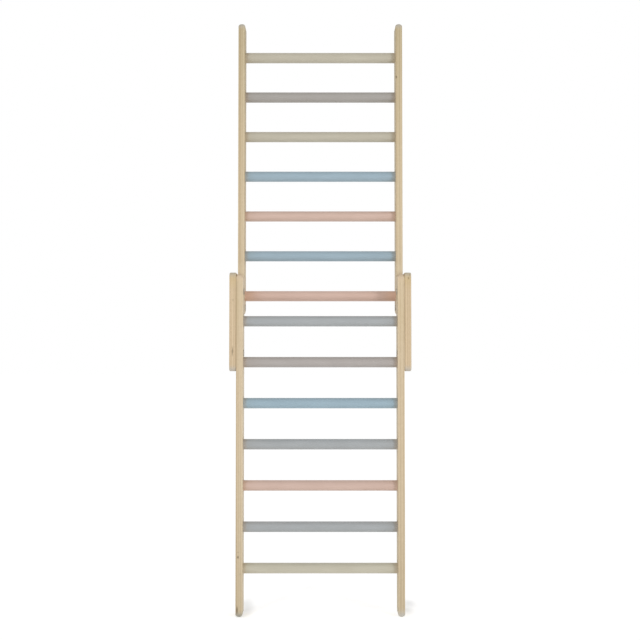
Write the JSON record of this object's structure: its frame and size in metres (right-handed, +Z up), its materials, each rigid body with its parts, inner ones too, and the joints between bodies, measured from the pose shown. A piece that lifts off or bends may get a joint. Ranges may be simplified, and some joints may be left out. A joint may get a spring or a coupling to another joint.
{
  "type": "climbing triangle",
  "caption": "Child's folding climbing triangle of two plywood ladders on pivoting side plates, unfolded straight into one tall ladder with painted round rungs.",
  "frame": {"origin": "on the floor, midway between the two sides and midway between the front and the back", "axes": "+X to the right as seen from the front, +Y to the back, +Z up along the unfolded ladders"},
  "size_m": [0.489, 0.1216, 1.605],
  "materials": {
    "birch_plywood": "clear matt varnish over birch plywood, with the plies showing along the edges",
    "sand_paint": "satin sand paint on a birch dowel",
    "warm_grey_paint": "satin warm grey paint on a birch dowel",
    "grey_paint": "satin grey paint on a birch dowel",
    "blue_paint": "satin dusty blue paint on a birch dowel",
    "pink_paint": "satin dusty pink paint on a birch dowel",
    "zinc_steel": "zinc-plated steel, satin"
  },
  "bodies": {
    "lower_ladder": {"lower_left_rail": "birch_plywood", "lower_right_rail": "birch_plywood", "lower_rung_1": "sand_paint", "lower_rung_2": "grey_paint", "lower_rung_3": "pink_paint", "lower_rung_4": "grey_paint", "lower_rung_5": "blue_paint", "lower_rung_6": "warm_grey_paint", "lower_rung_7": "grey_paint", "left_hinge_plate": "birch_plywood", "right_hinge_plate": "birch_plywood", "left_upper_plate_bolt": "zinc_steel", "left_lower_plate_bolt": "zinc_steel", "right_upper_plate_bolt": "zinc_steel", "right_lower_plate_bolt": "zinc_steel", "left_upper_plate_nut": "zinc_steel", "left_lower_plate_nut": "zinc_steel", "right_upper_plate_nut": "zinc_steel", "right_lower_plate_nut": "zinc_steel", "left_pivot_bolt": "zinc_steel", "right_pivot_bolt": "zinc_steel", "left_pivot_nut": "zinc_steel", "right_pivot_nut": "zinc_steel"},
    "upper_ladder": {"upper_left_rail": "birch_plywood", "upper_right_rail": "birch_plywood", "upper_rung_1": "pink_paint", "upper_rung_2": "blue_paint", "upper_rung_3": "pink_paint", "upper_rung_4": "blue_paint", "upper_rung_5": "sand_paint", "upper_rung_6": "warm_grey_paint", "upper_rung_7": "sand_paint"}
  },
  "joints": [
    {"name": "fold", "type": "hinge", "parent": "lower_ladder", "child": "upper_ladder", "pos_m": [0, 0.03075, 0.824], "axis": [-1, 0, 0], "range_deg": [0, 180]}
  ]
}
